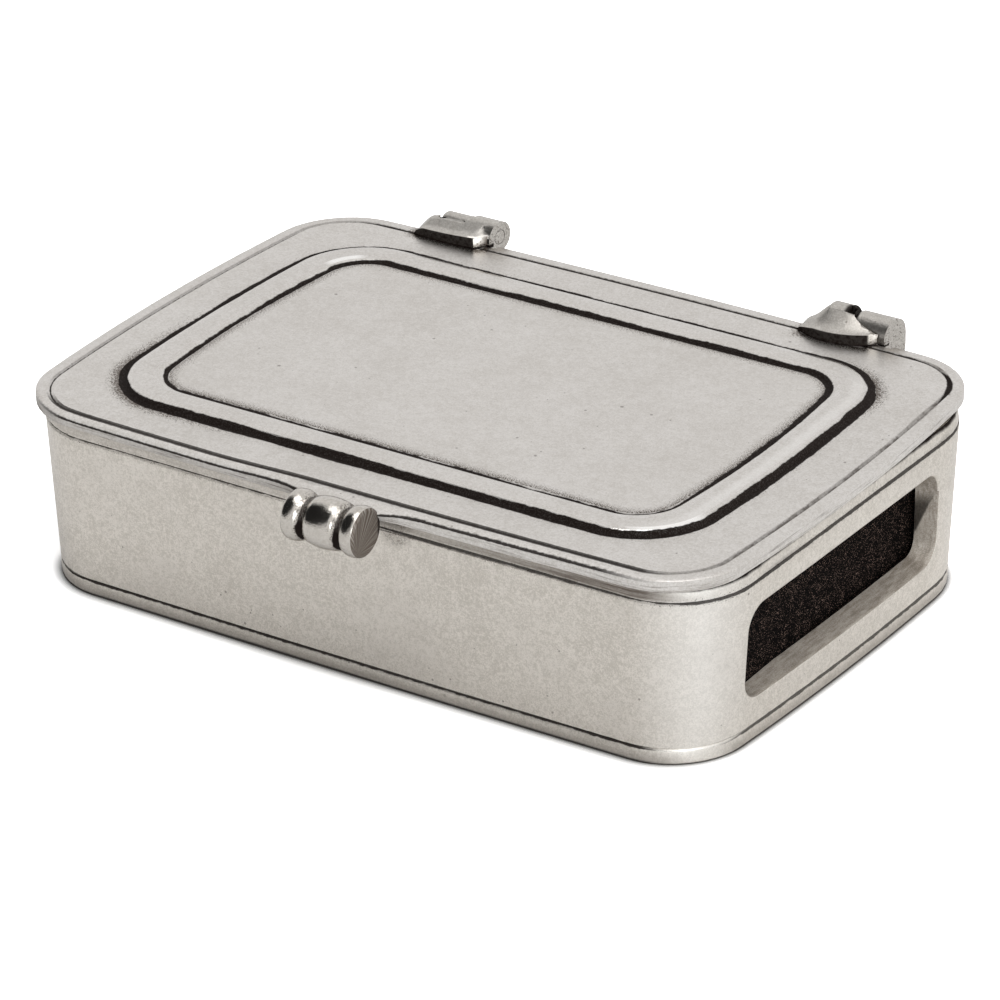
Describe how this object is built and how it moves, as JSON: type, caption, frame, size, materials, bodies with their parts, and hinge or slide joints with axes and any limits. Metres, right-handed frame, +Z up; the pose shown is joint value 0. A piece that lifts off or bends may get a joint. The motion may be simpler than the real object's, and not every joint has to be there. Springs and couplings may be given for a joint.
{
  "type": "match box",
  "caption": "Low cast pewter table box for matches with a hinged framed lid, a grooved thumb-piece and a striker window in one end.",
  "frame": {"origin": "middle of the case's footprint, on the underside of the base plate", "axes": "+X along the length towards the end with the striker window, +Z up, -Y towards the thumb-piece, +Y towards the hinges"},
  "size_m": [0.1226, 0.0965, 0.0344],
  "materials": {
    "pewter": "satin cast pewter, brushed, with dark patina in the lines",
    "polished_pewter": "burnished pewter with dark grooves",
    "pin_metal": "filed flush, satin",
    "striking_grit": "coarse black grit with small bright grains",
    "backing_card": "plain matt board"
  },
  "bodies": {
    "case": {"case_wall": "pewter", "base_plate": "pewter", "striker_strip": "striking_grit", "striker_backing": "backing_card", "striker_rail_upper": "pewter", "striker_rail_lower": "pewter", "case_hinge_left": "pewter", "case_hinge_right": "pewter", "hinge_pin_left": "pin_metal", "hinge_pin_right": "pin_metal"},
    "lid": {"lid": "pewter", "lid_hinge_left": "pewter", "lid_hinge_right": "pewter", "thumb_piece": "polished_pewter"}
  },
  "joints": [
    {"name": "lid_hinge", "type": "hinge", "parent": "case", "child": "lid", "pos_m": [0, 0.04295, 0.0313], "axis": [-1, 0, 0], "range_deg": [0, 150]}
  ]
}
